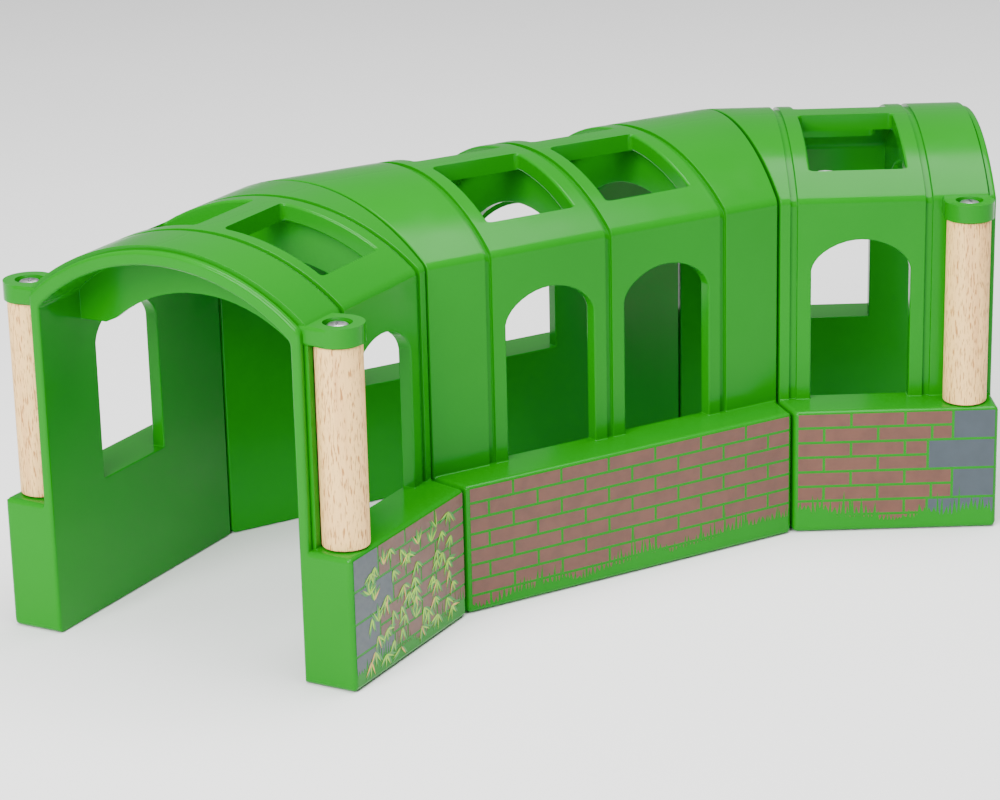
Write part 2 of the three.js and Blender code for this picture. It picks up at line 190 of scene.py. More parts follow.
# The printed leaves: sprigs stand in rows of SPRIGS_IN_ROW over a band of the front's faces.
LEAF_SHAPE = ((0, 0), (0.28, 0.5), (0.55, 0.42), (1.0, 0), (0.5, -0.34), (0.22, -0.4))
LEAF_SEED = 71
SPRIGS_IN_ROW = 6
SPRIG_MARGIN = 7.0
SPRIG_LOW, SPRIG_BAND = 4.0, 31.0
LEAF_MARGIN = 1.2
LEAF_TOP = 36.8
SHADOW_TURN = 0.16       # a darker leaf lies turned by this under each leaf, and is larger
SHADOW_LENGTH, SHADOW_WIDTH = 1.2, 1.9
SHADOW_LIFT, SHADOW_LIFT_RANGE = 0.045, 0.02
LEAF_LIFT, LEAF_LIFT_RANGE = 0.07, 0.08
WARM_SHARE = 0.14

# The stage, in metres and watts, and the camera, in millimetres and degrees of the front
# section's space.
FLOOR_HALF = 6
FLOOR_GAP = 0.0002
WORLD_STRENGTH = 0.42
LIGHTS = (("key", (-0.95, -0.55, 0.75), 0.9, 30.0), ("top", (0.1, -0.1, 1.1), 1.0, 23.0))
CAMERA_SPOT = (454.0, -639.7, 329.8)
CAMERA_YAW, CAMERA_PITCH, CAMERA_ROLL = -28.494, -18.094, -1.199
CAMERA_LENS = 110.95
CAMERA_SHIFT = (-0.0175, -0.0109)


# ---- Sizes and colours a user may change ----------------------------------------------------

def length(name, description, default_mm):
    return FloatProperty(name=name, description=description, default=default_mm * MM, min=0.0,
                         unit="LENGTH", precision=5)


def colour(name, description, default):
    return FloatVectorProperty(name=name, description=description, default=default, size=3,
                               min=0.0, max=1.0, subtype="COLOR")


class TunnelSizes(bpy.types.PropertyGroup):
    plinth_edge: length("Plinth edge radius", "Rounding along the plinths", 1.5)
    portal_edge: length("Portal edge radius", "Rounding of the portal's front face", 1.0)
    skylight_edge: length("Skylight edge radius", "Rounding of a skylight's rim", 0.8)
    opening_edge: length("Opening edge radius", "Rounding of windows and mating faces", 0.4)
    fine_edge: length("Fine edge radius", "Rounding of grooves, the lip and the ribs", 0.16)
    corner: length("Skylight corner radius", "Rounding of a skylight's upright corners", 1.3)
    ink: length("Ink thickness", "How far the printed brickwork stands off the plastic", 0.04)
    brick_length: length("Brick pitch", "Length of a printed brick with its joint", 16.1)
    brick_height: length("Course pitch", "Height of a printed course with its joint", 4.6)
    mortar: length("Mortar", "Width of the bare joint between printed bricks", 0.75)
    leaf_length: length("Leaf length", "Length of a printed leaf", 4.4)
    sprigs: IntProperty(name="Sprigs", description="Leaf sprigs printed on a plinth face",
                        default=54, min=0, max=80)


class TunnelColours(bpy.types.PropertyGroup):
    plastic: colour("Plastic", "Moulded plastic", (0.003, 0.200, 0.005))
    beech: colour("Beech", "Pale wood between the grain", (0.96, 0.60, 0.22))
    beech_dark: colour("Beech grain", "Wood along the grain lines", (0.76, 0.42, 0.16))
    zinc: colour("Zinc", "Screws", (0.62, 0.63, 0.64))
    brick: colour("Brick ink", "Printed bricks", (0.105, 0.036, 0.021))
    stone: colour("Stone ink", "Printed corner stones", (0.034, 0.050, 0.064))
    leaf: colour("Leaf ink", "Printed leaves", (0.240, 0.480, 0.002))
    foliage: colour("Foliage ink", "Darker leaves under the bright ones", (0.006, 0.210, 0.010))
    leaf_tip: colour("Leaf tip ink", "Warm tint on some leaves", (0.560, 0.330, 0.060))
    floor: colour("Floor", "Studio floor", (0.90, 0.90, 0.90))


def sizes():
    return bpy.context.scene.tunnel_sizes


def colours():
    return bpy.context.scene.tunnel_colours


# ---- Where the sections stand ---------------------------------------------------------------

def joint_of(section):
    return next(j for j in frame["joints"] if j["child"] == f"{section}_section")


def end_y(section, x):
    """Where a section's mitred end face crosses x."""
    short = MIDDLE_SHORT_SIDE / 2 if section == "middle" else END_SHORT_SIDE
    return short + (PLINTH_HALF - x) * math.tan(MITRE) - JOINT_SETBACK / math.cos(MITRE)


def section_matrix(section):
    """From a section's own millimetres to the frame's metres; a rear section is mirrored."""
    low, high = MIDDLE_BOX
    scale = Matrix.Scale(MM, 4)
    turn = -math.pi / 2
    if section == "middle":
        place = Matrix.Translation((0, (low.y + high.y) / 2, 0))
        return place @ Matrix.Rotation(turn, 4, "Z") @ scale
    sign = 1 if section == "front" else -1
    joint = joint_of(section)
    long_side = END_SHORT_SIDE + 2 * PLINTH_HALF * math.tan(MITRE)
    turn += sign * math.radians(joint["range_deg"][1])
    mirror = Matrix.Diagonal((1, sign, 1, 1))
    to_pivot = Matrix.Translation((PLINTH_HALF, -long_side, 0))
    return (Matrix.Translation(joint["pos_m"]) @ Matrix.Rotation(turn, 4, "Z")
            @ scale @ mirror @ to_pivot)


# ---- Mesh helpers ---------------------------------------------------------------------------

def local_object(bm, name):
    """An object that keeps its mesh's own millimetres, with its faces outward."""
    bmesh.ops.recalc_face_normals(bm, faces=bm.faces)
    mesh = bpy.data.meshes.new(name)
    bm.to_mesh(mesh)
    bm.free()
    obj = bpy.data.objects.new(name, mesh)
    bpy.context.scene.collection.objects.link(obj)
    return obj


def to_object(bm, name, section=None):
    """An object in the frame's metres, from millimetres of a section's space or of its own."""
    bm.transform(section_matrix(section) if section else Matrix.Scale(MM, 4))
    return local_object(bm, name)


def bake(obj):
    """Makes an object's modifiers part of its mesh."""
    bpy.context.view_layer.update()
    evaluated = obj.evaluated_get(bpy.context.evaluated_depsgraph_get())
    mesh = bpy.data.meshes.new_from_object(evaluated)
    obj.modifiers.clear()
    old = obj.data
    obj.data = mesh
    bpy.data.meshes.remove(old)
    mesh.name = obj.name
    return obj


def combine(obj, tool, operation):
    """Unites an object with a tool or cuts it, and removes the tool."""
    modifier = obj.modifiers.new("cut", "BOOLEAN")
    modifier.operation = operation
    modifier.solver = "MANIFOLD"
    modifier.object = tool
    bake(obj)
    bpy.data.objects.remove(tool)
    return obj


def smooth(obj, angle=35):
    obj.data.shade_smooth()
    obj.data.set_sharp_from_angle(angle=math.radians(angle))
    weighted = obj.modifiers.new("normals", "WEIGHTED_NORMAL")
    weighted.keep_sharp = True
    weighted.weight = 80
    return bake(obj)


def prism(points, low, high):
    """A closed block over a plan of (x, y) points."""
    bm = bmesh.new()
    floor = [bm.verts.new((x, y, low)) for x, y in points]
    roof = [bm.verts.new((x, y, high)) for x, y in points]
    bm.faces.new(floor)
    bm.faces.new(roof)
    for i in range(len(points)):
        j = (i + 1) % len(points)
        bm.faces.new((floor[i], floor[j], roof[j], roof[i]))
    return bm


def circle(x, y, radius, steps=48):
    return [(x + radius * math.cos(2 * math.pi * i / steps),
             y + radius * math.sin(2 * math.pi * i / steps)) for i in range(steps)]


def lathe(profile, steps):
    """A closed turned solid from (radius, z) points that start and end on the axis."""
    bm = bmesh.new()
    rings = []
    for radius, z in profile:
        if radius == 0:
            rings.append([bm.verts.new((0, 0, z))] * steps)
        else:
            rings.append([bm.verts.new((px, py, z)) for px, py in circle(0, 0, radius, steps)])
    for low, high in zip(rings, rings[1:]):
        for i in range(steps):
            j = (i + 1) % steps
            corners = list(dict.fromkeys((low[i], low[j], high[j], high[i])))
            if len(corners) > 2:
                bm.faces.new(corners)
    return bm


# ---- Section shells -------------------------------------------------------------------------

def arc_z(x, half, crown, rise):
    """Height at x of an arch of a given half width, crown height and rise."""
    radius = (half * half + rise * rise) / (2 * rise)
    return crown - radius + math.sqrt(max(radius * radius - x * x, 0.0))


def window_top(offset):
    """Height of a window's head at a distance from its middle."""
    d = abs(offset)
    if d >= WINDOW_HALF:
        return WINDOW_SPRING_Z - SHOULDER_DROP
    z = arc_z(d, WINDOW_HALF, WINDOW_CROWN_Z, WINDOW_CROWN_Z - WINDOW_SPRING_Z)
    near = (WINDOW_HALF - d) / SHOULDER_REACH
    if near < 1:
        z -= SHOULDER_DROP * (1 - math.sqrt(1 - (1 - near) ** 2))
    return z


def eave_points(half, eave, crown, reach, stop):
    """A rounded crease from the wall into the roof, then the roof as far as x = stop."""
    rise = crown - eave
    end_x = half - reach
    end = (end_x, arc_z(end_x, half, crown, rise))
    points = []
    for i in range(5):
        t = i / 4
        points.append((
            (1 - t) ** 2 * half + 2 * t * (1 - t) * half + t * t * end[0],
            (1 - t) ** 2 * (eave - reach) + 2 * t * (1 - t) * eave + t * t * end[1]))
    for i in range(1, 4):
        x = end_x + (stop - end_x) * i / 3
        points.append((x, arc_z(x, half, crown, rise)))
    return points


def roof_stations():
    """x of the roof's lines between the two skylights' outer edges."""
    step = (SKYLIGHT_X - RIDGE_BAR_X) / ROOF_STEPS
    right = [SKYLIGHT_X - step * i for i in range(1, ROOF_STEPS + 1)]
    return right + [0.0] + [-x for x in reversed(right)]


def outer_line(inset, head, above):
    """The outside of one cross-section, from the foot inside the bend, over the roof and down.

    head is the height of a window's top there, above that of the wall line over it.
    """
    half = WALL_X - inset
    eave = EAVE_Z - inset
    crown = RIDGE_Z - inset
    side = [(FACE_X, 0), (FACE_X, LEDGE_Z), (WALL_X, LEDGE_Z), (half, LEDGE_Z),
            (half, head), (half, above)]
    side += eave_points(half, eave, crown, EAVE_REACH, SKYLIGHT_X)
    top = [(x, arc_z(x, half, crown, crown - eave)) for x in roof_stations()]
    return side + top + [(-x, z) for x, z in reversed(side)]


def inner_line(rib, head, above):
    """The inside of the same cross-section, point for point with outer_line."""
    side = [(INNER_X, 0), (INNER_X, LEDGE_Z - 8), (INNER_X, LEDGE_Z - 4), (INNER_X, LEDGE_Z),
            (INNER_X, head), (INNER_X, above)]
    crease = eave_points(INNER_X, SPRING_Z, CROWN_Z, SPRING_REACH, SKYLIGHT_X)
    roof = [(x, arc_z(x, INNER_X, CROWN_Z, CROWN_Z - SPRING_Z)) for x in roof_stations()]
    curve = crease + roof + [(-x, z) for x, z in reversed(crease)]
    if rib:
        curve = [(x, RIB_FOOT_Z if abs(x) > RIB_ARCH_HALF
                  else arc_z(x, RIB_ARCH_HALF, RIB_CROWN_Z, RIB_CROWN_Z - RIB_FOOT_Z))
                 for x, z in curve]
    return side + curve + [(-x, z) for x, z in reversed(side)]


def bays(section):
    """Groove positions and window middles along a section."""
    if section == "middle":
        return [-BAY, 0.0, BAY], [-BAY / 2, BAY / 2]
    return [FIRST_GROOVE, FIRST_GROOVE + BAY], [FIRST_GROOVE + BAY / 2]


def columns(section):
    """Cross-sections along the track: (y, inset, rib), doubled where the moulding steps."""
    grooves, windows = bays(section)
    stops = set()
    for g in grooves:
        stops |= {g - GROOVE_HALF, g + GROOVE_HALF, g - RIB_HALF, g + RIB_HALF}
    for w in windows:
        for d in (WINDOW_HALF, SKYLIGHT_HALF, *ARCH_STATIONS):
            stops |= {w - d, w + d}
    if section != "middle":
        stops |= {0.0, LIP_END, BEAD_END}
    ys = ([-math.inf] if section == "middle" else []) + sorted(stops) + [math.inf]
    made = []
    for a, b in zip(ys, ys[1:]):
        mid = b - 1 if math.isinf(a) else a + 1 if math.isinf(b) else (a + b) / 2
        inset = GROOVE_DEPTH if any(abs(mid - g) < GROOVE_HALF for g in grooves) else 0.0
        if section != "middle" and mid < BEAD_END:
            inset = LIP_STEP if mid < LIP_END else BEAD_STEP
        rib = any(abs(mid - g) < RIB_HALF for g in grooves)
        for y in (a, b):
            if not made or made[-1] != (y, inset, rib):
                made.append((y, inset, rib))
    return made


def shell_mesh(section):
    """One section's shell with square edges: a grid of outer and inner faces, open at the holes."""
    windows = bays(section)[1]
    cols = columns(section)
    bm = bmesh.new()
    verts = {}

    # An infinite y stands for a mitred end; the plinths stretch along the track to meet it.
    def vert(x, y, z):
        if math.isinf(y):
            y = math.copysign(end_y(section, x), y)
        elif abs(x) > WALL_X + 0.01:
            y *= end_y(section, x) / end_y(section, math.copysign(WALL_X, x))
        key = (round(x, 4), round(y, 4), round(z, 4))
        if key not in verts:
            verts[key] = bm.verts.new(key)
        return verts[key]

    outer, inner = [], []
    for y, inset, rib in cols:
        offset = min((y - w for w in windows), key=abs)
        head = window_top(offset)
        above = HEAD_LINE_Z if abs(offset) < SKYLIGHT_HALF else RIB_FOOT_Z
        outer.append([vert(x, y, z) for x, z in outer_line(inset, head, above)])
        inner.append([vert(x, y, z) for x, z in inner_line(rib, head, above)])
    rows = len(outer[0]) - 1
    xs = [x for x, z in outer_line(0, WINDOW_SPRING_Z, HEAD_LINE_Z)]

    def open_cell(i, j):
        if not (0 <= i < rows and 0 <= j < len(cols) - 1):
            return True
        a, b = cols[j][0], cols[j + 1][0]
        if math.isinf(a) or math.isinf(b) or a == b:
            return False
        offset = min(((a + b) / 2 - w for w in windows), key=abs)
        if i in (3, rows - 4):
            return abs(offset) < WINDOW_HALF
        middle = abs(xs[i] + xs[i + 1]) / 2
        on_roof = 5 < i < rows - 6 and RIDGE_BAR_X < middle < SKYLIGHT_X
        return on_roof and abs(offset) < SKYLIGHT_HALF

    def face(*corners):
        corners = list(dict.fromkeys(corners))
        if len(corners) > 2 and bm.faces.get(corners) is None:
            bm.faces.new(corners)

    for j in range(len(cols) - 1):
        for i in range(rows):
            if open_cell(i, j):
                continue
            for skin in (outer, inner):
                face(skin[j][i], skin[j][i + 1], skin[j + 1][i + 1], skin[j + 1][i])
            sides = ((-1, 0, (j, i), (j + 1, i)), (1, 0, (j, i + 1), (j + 1, i + 1)),
                     (0, -1, (j, i), (j, i + 1)), (0, 1, (j + 1, i), (j + 1, i + 1)))
            for di, dj, (pj, pi), (qj, qi) in sides:
                if open_cell(i + di, j + dj):
                    face(outer[pj][pi], outer[qj][qi], inner[qj][qi], inner[pj][pi])
    bmesh.ops.recalc_face_normals(bm, faces=bm.faces)
    bmesh.ops.dissolve_limit(bm, angle_limit=math.radians(0.4), verts=bm.verts, edges=bm.edges)
    return bm


def edge_radius(section, edge, s):
    """Rounding of one edge of a shell, by where it is; s holds the radii by name."""
    a, b = (v.co for v in edge.verts)
    mid = (a + b) / 2
    along = (b - a).normalized()
    x, z = abs(mid.x), mid.z
    if x > WALL_X + 0.3:
        return s["plinth"]
    if z < TOUCH:
        return s["opening"]
    near_lip = section != "middle" and TOUCH < mid.y < BEAD_END + TOUCH
    if near_lip:
        return s["fine"] / 2
    if abs(along.z) > 0.9 and z > WINDOW_CROWN_Z and x < SKYLIGHT_X + TOUCH:
        return s["corner"]
    if section != "middle" and mid.y < TOUCH:
        return s["portal"]
    grooves, windows = bays(section)
    if any(abs(mid.y - g) < GROOVE_HALF + TOUCH for g in grooves):
        return s["fine"]
    if z > WINDOW_CROWN_Z + 4 and any(abs(mid.y - w) < SKYLIGHT_HALF + TOUCH for w in windows):
        return s["skylight"]
    return s["opening"]


def rounded(obj, section, bm):
    """Gives an object the shell's mesh with every sharp edge rounded by its own radius."""
    s = sizes()
    radii = {"plinth": s.plinth_edge / MM, "opening": s.opening_edge / MM,
             "fine": s.fine_edge / MM, "corner": s.corner / MM,
             "portal": s.portal_edge / MM, "skylight": s.skylight_edge / MM}
    top = max(radii.values())
    layer = bm.edges.layers.float.new("bevel_weight_edge")
    for edge in bm.edges:
        if len(edge.link_faces) == 2 and edge.calc_face_angle(0) > math.radians(28):
            edge[layer] = edge_radius(section, edge, radii) / top
    bm.to_mesh(obj.data)
    bm.free()
    modifier = obj.modifiers.new("round", "BEVEL")
    modifier.limit_method = "WEIGHT"
    modifier.width = top
    modifier.segments = 3
    modifier.use_clamp_overlap = False
    modifier.miter_outer = "MITER_ARC"
    return bake(obj)


def plinth_plan(section, side, inset):
    """Plan of one plinth, drawn in by an inset on all four sides."""
    x0, x1 = side * (INNER_X + inset), side * (PLINTH_HALF - inset)
    lean = inset / math.cos(MITRE)

    def far(x):
        return end_y(section, x) - lean

    near = [(-far(x0)), (-far(x1))] if section == "middle" else [inset, inset]
    return [(x0, near[0]), (x1, near[1]), (x1, far(x1)), (x0, far(x0))]


def ear_mesh(side):
    """The half-round ear of a roof that holds the top of a post."""
    arc = [(POST_X + EAR_RADIUS * math.cos(a), POST_Y + EAR_RADIUS * math.sin(a))
           for a in [math.pi * (i / 24 - 0.5) for i in range(25)]]
    plan = [(EAR_ROOT_X, POST_Y - EAR_RADIUS)] + arc + [(EAR_ROOT_X, POST_Y + EAR_RADIUS)]
    bm = prism([(side * x, y) for x, y in plan], EAR_BOTTOM_Z, EAR_TOP_Z)
    rims = [e for e in bm.edges
            if abs(e.verts[0].co.z - e.verts[1].co.z) < 0.01
            and max(abs(v.co.x) for v in e.verts) > EAR_ROOT_X + 0.1]
    bmesh.ops.bevel(bm, geom=rims, offset=EAR_EDGE, segments=4, profile=0.5, affect="EDGES")
    return bm


def add_shell(section):
    """A section's finished shell: rounded, with its ears, holes, hollow plinths and seats."""
    name = f"{section}_shell"
    bm = shell_mesh(section)
    obj = local_object(bmesh.new(), name)
    rounded(obj, section, bm)
    if section != "middle":
        for side in SIDES.values():
            combine(obj, local_object(ear_mesh(side), "ear"), "UNION")
            x = side * POST_X
            for low, high, radius in (
                    (LEDGE_Z, EAR_BOTTOM_Z, POST_SOCKET_RADIUS),
                    (0, CLEAR_ABOVE, SCREW_HOLE_RADIUS),
                    (EAR_TOP_Z - COUNTERBORE_DEPTH, CLEAR_ABOVE, COUNTERBORE_RADIUS)):
                tool = local_object(prism(circle(x, POST_Y, radius), low, high), "tool")
                combine(obj, tool, "DIFFERENCE")
    for side in SIDES.values():
        plan = plinth_plan(section, side, HOLLOW_INSET)
        hollow = local_object(prism(plan, CLEAR_BELOW, HOLLOW_TOP_Z), "hollow")
        if section != "middle":
            plan = circle(side * POST_X, POST_Y, BOSS_RADIUS)
            combine(hollow, local_object(prism(plan, BOSS_Z, BOSS_TOP_Z), "boss"), "DIFFERENCE")
        combine(obj, hollow, "DIFFERENCE")
        plan = plinth_plan(section, side, SEAT_INSET)
        combine(obj, local_object(prism(plan, CLEAR_BELOW, SEAT_TOP_Z), "seat"), "DIFFERENCE")
    matrix = section_matrix(section)
    obj.data.transform(matrix)
    if matrix.determinant() < 0:
        obj.data.flip_normals()
    smooth(obj)
    finish_piece(obj, f"{section}_section", plastic_material(), "green_plastic",
                 f"{section}_section_shell")
    return obj


def finish_piece(obj, body, material, slot, *nodes):
    obj.data.materials.clear()
    obj.data.materials.append(material)
    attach(obj, body)
    if nodes:
        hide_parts(*nodes)


# ---- Materials ------------------------------------------------------------------------------

class Nodes:
    """A short way to write a node material."""

    def __init__(self, name):
        self.material = bpy.data.materials.new(name)
        self.material.use_nodes = True
        self.tree = self.material.node_tree
        self.shader = self.tree.nodes["Principled BSDF"]

    def add(self, kind, values=None, **settings):
        node = self.tree.nodes.new(kind)
        for key, value in settings.items():
            setattr(node, key, value)
        for key, value in (values or {}).items():
            node.inputs[key].default_value = value
        return node

    def link(self, source, target):
        self.tree.links.new(source, target)

    def noise(self, scale, detail=4.0, stretch=(1, 1, 1), roughness=0.55):
        place = self.add("ShaderNodeTexCoord")
        mapping = self.add("ShaderNodeMapping", {"Scale": stretch})
        noise = self.add("ShaderNodeTexNoise",
                         {"Scale": scale, "Detail": detail, "Roughness": roughness})
        self.link(place.outputs["Object"], mapping.inputs["Vector"])
        self.link(mapping.outputs["Vector"], noise.inputs["Vector"])
        return noise.outputs["Fac"]

    def ramp(self, source, stops):
        ramp = self.add("ShaderNodeValToRGB")
        elements = ramp.color_ramp.elements
        while len(elements) < len(stops):
            elements.new(0.5)
        for element, (position, value) in zip(elements, stops):
            element.position = position
            element.color = (*value, 1.0)
        self.link(source, ramp.inputs["Fac"])
        return ramp.outputs["Color"]

    def tint(self, source, stops):
        self.link(self.ramp(source, stops), self.shader.inputs["Base Color"])

    def polish(self, source, low, high):
        """Roughness from low to high over the middle of the source's range."""
        node = self.add("ShaderNodeMapRange", {"From Min": 0.3, "From Max": 0.7,
                                               "To Min": low, "To Max": high})
        self.link(source, node.inputs["Value"])
        self.link(node.outputs["Result"], self.shader.inputs["Roughness"])

    def bump(self, source, strength, distance_mm):
        bump = self.add("ShaderNodeBump", {"Strength": strength, "Distance": distance_mm * MM})
        self.link(source, bump.inputs["Height"])
        self.link(bump.outputs["Normal"], self.shader.inputs["Normal"])

    def set(self, **values):
        for key, value in values.items():
            self.shader.inputs[key.replace("_", " ")].default_value = value


def shade(value, factor):
    return tuple(min(c * factor, 1.0) for c in value)


def once(name, paint):
    """The material of this name, painted when it is first asked for."""
    material = bpy.data.materials.get(name)
    if material is None:
        nodes = Nodes(name)
        paint(nodes)
        material = nodes.material
    return material


def plastic_material():
    def paint(n):
        green = tuple(colours().plastic)
        n.tint(n.noise(14, 3), [(0.3, shade(green, 0.93)), (0.7, shade(green, 1.05))])
        n.polish(n.noise(90, 5), 0.16, 0.26)
        n.bump(n.noise(900, 3), 0.10, 0.05)
        n.set(IOR=1.5, Specular_IOR_Level=0.14)
    return once("Glossy green plastic", paint)


def beech_material():
    def paint(n):
        pale, dark = tuple(colours().beech), tuple(colours().beech_dark)
        grain = n.noise(260, 6, (1, 1, 0.05), 0.65)
        flecks = n.noise(2600, 2, (1, 1, 0.13), 0.5)
        base = n.ramp(grain, [(0.30, shade(pale, 1.06)), (0.52, pale), (0.72, dark)])
        fleck = n.ramp(flecks, [(0.54, (1, 1, 1)), (0.64, (0.46, 0.31, 0.19))])
        mix = n.add("ShaderNodeMix", data_type="RGBA", blend_type="MULTIPLY")
        mix.inputs["Factor"].default_value = 0.95
        n.link(base, mix.inputs["A"])
        n.link(fleck, mix.inputs["B"])
        n.link(mix.outputs["Result"], n.shader.inputs["Base Color"])
        n.polish(grain, 0.50, 0.66)
        n.bump(grain, 0.25, 0.08)
    return once("Turned beech", paint)


def zinc_material():
    def paint(n):
        zinc = tuple(colours().zinc)
        n.tint(n.noise(420, 4), [(0.35, shade(zinc, 0.8)), (0.65, shade(zinc, 1.15))])
        n.polish(n.noise(800, 4), 0.22, 0.42)
        n.set(Metallic=1.0)
    return once("Zinc plate", paint)


def ink_material(name, key, spread=0.12):
    def paint(n):
        base = tuple(getattr(colours(), key))
        n.tint(n.noise(230, 4), [(0.34, shade(base, 1 - spread)), (0.62, shade(base, 1 + spread))])
        n.polish(n.noise(700, 4), 0.30, 0.44)
        n.bump(n.noise(2600, 2), 0.12, 0.02)
    return once(name, paint)


# ---- Printed brickwork ----------------------------------------------------------------------

class Print:
    """Flat closed patches of ink on one plinth face: u from the portal along the face, z up."""

    def __init__(self, section, side):
        self.section, self.side = section, side
        x = side * PLINTH_HALF
        self.start = -end_y(section, x) if section == "middle" else 0.0
        self.length = end_y(section, x) - self.start
        self.bm = bmesh.new()

    def patch(self, outline, lift=0.0):
        """One closed slab of ink over an outline of (u, z) points."""
        ink = sizes().ink / MM
        x = self.side * (FACE_X + PRINT_LIFT + lift)
        top = x + self.side * ink
        low = [self.bm.verts.new((x, self.start + u, z)) for u, z in outline]
        high = [self.bm.verts.new((top, self.start + u, z)) for u, z in outline]
        self.bm.faces.new(low)
        self.bm.faces.new(high)
        for i in range(len(outline)):
            j = (i + 1) % len(outline)
            self.bm.faces.new((low[i], low[j], high[j], high[i]))

    def finish(self, kind, material):
        """Makes the patches one piece, named after the face and the kind of print."""
        face = f"{self.section}_{'inner' if self.side > 0 else 'outer'}"
        obj = to_object(self.bm, f"{face}_printed_{kind}", self.section)
        finish_piece(obj, f"{self.section}_section", material, "green_plastic")


def grass_line(length_mm, base, seed):
    """The spiky top of the bare grass along the bottom of a face, as (u, z) points."""
    rng = random.Random(seed)
    points = [(0.0, base(0.0))]
    u = BLADE_START
    while u < length_mm - BLADE_STOP:
        width = rng.uniform(*BLADE_WIDTH)
        foot = base(u) * rng.uniform(*BLADE_FOOT)
        reach = 1.0 + 0.6 * math.sin(0.19 * u + seed)
        tip = base(u) + reach * rng.choice(BLADE_HEIGHTS) * rng.uniform(*BLADE_SPREAD)
        points += [(u, foot), (u + width * rng.uniform(*BLADE_TIP), tip), (u + width, foot)]
        u += width + rng.uniform(*BLADE_GAP)
    points.append((length_mm, base(length_mm)))
    return points


def line_at(points, u):
    """Height at u of a line of (u, z) points."""
    for (u0, z0), (u1, z1) in zip(points, points[1:]):
        if u0 <= u <= u1:
            return z0 if u1 == u0 else z0 + (z1 - z0) * (u - u0) / (u1 - u0)
    return points[-1][1]


def ink_block(sheet, u0, u1, z0, z1, grass):
    """A printed rectangle with the grass line bitten out of its lower edge."""
    cuts = sorted({u0, u1} | {u for u, z in grass if u0 < u < u1})
    fine = []
    for a, b in zip(cuts, cuts[1:]):
        za, zb = line_at(grass, a + 1e-6), line_at(grass, b - 1e-6)
        marks = [a, b]
        for level in (z0, z1):
            if (za - level) * (zb - level) < 0:
                marks.append(a + (b - a) * (level - za) / (zb - za))
        fine += sorted(marks)[:-1]
    fine.append(u1)
    run = []

    def flush():
        if len(run) > 1 and run[-1][0] - run[0][0] > 0.05:
            outline = run + [(run[-1][0], z1), (run[0][0], z1)]
            clean = [p for i, p in enumerate(outline)
                     if math.dist(p, outline[i - 1]) > 1e-4]
            if len(clean) > 2:
                sheet.patch(clean)
        run.clear()

    for u in fine:
        z = min(max(line_at(grass, u), z0), z1)
        run.append((u, z))
        if z >= z1 - 1e-6:
            flush()
            run.append((u, z))
    flush()


def stone_width(course):
    """How far a corner stone reaches from the portal, by pairs of courses."""
    return SHORT_STONE if (course // 2) % 2 == 0 else LONG_STONE


def print_bricks(section, side):
    """Bricks above the grass on one plinth face, with corner stones beside a portal."""
    s = sizes()
    pitch, course_height, mortar = s.brick_length / MM, s.brick_height / MM, s.mortar / MM
    bricks, stones = Print(section, side), Print(section, side)
    length_mm = bricks.length
    has_stones = section != "middle"
    seed = BRICK_SEEDS[section] + (OUTER_SEED_STEP if side < 0 else 0)
    near, far, dip = GRASS[section]

    def base(u):
        t = u / length_mm
        swell = sum(height * math.sin(u * turn + share * seed)
                    for height, turn, share in GRASS_SWELLS)
        return max(near + (far - near) * t - dip * math.sin(math.pi * t) + swell, LOWEST_GRASS)

    grass = grass_line(length_mm, base, seed)
    for k in range(COURSES):
        z1 = PRINT_TOP - k * course_height
        z0 = max(z1 - course_height + mortar, PRINT_FLOOR)
        left = PRINT_MARGIN
        if has_stones:
            left = stone_width(k) + mortar
            if k % 2 == 0:
                low = max(z1 - 2 * course_height + mortar, PRINT_FLOOR)
                ink_block(stones, PRINT_MARGIN, stone_width(k), low, z1, grass)
        # Courses are laid from the far end, each half a brick off the last.
        u1 = length_mm - PRINT_MARGIN
        size = (pitch if k % 2 == 0 else pitch / 2) - mortar
        while u1 > left + SHORTEST_BRICK:
            u0 = max(u1 - size, left)
            if u1 - u0 > SHORTEST_BRICK:
                ink_block(bricks, u0, u1, z0, z1, grass)
            u1 = u0 - mortar
            size = pitch - mortar
    bricks.finish("bricks", ink_material("Brick ink", "brick"))
    if has_stones:
        stones.finish("stones", ink_material("Stone ink", "stone", 0.06))
    else:
        stones.bm.free()


def leaf_outline(u, z, angle, size, width):
    """One leaf's (u, z) points, from its stalk at u, z."""
    c, s = math.cos(angle), math.sin(angle)
    return [(u + c * a * size - s * b * width, z + s * a * size + c * b * width)
            for a, b in LEAF_SHAPE]


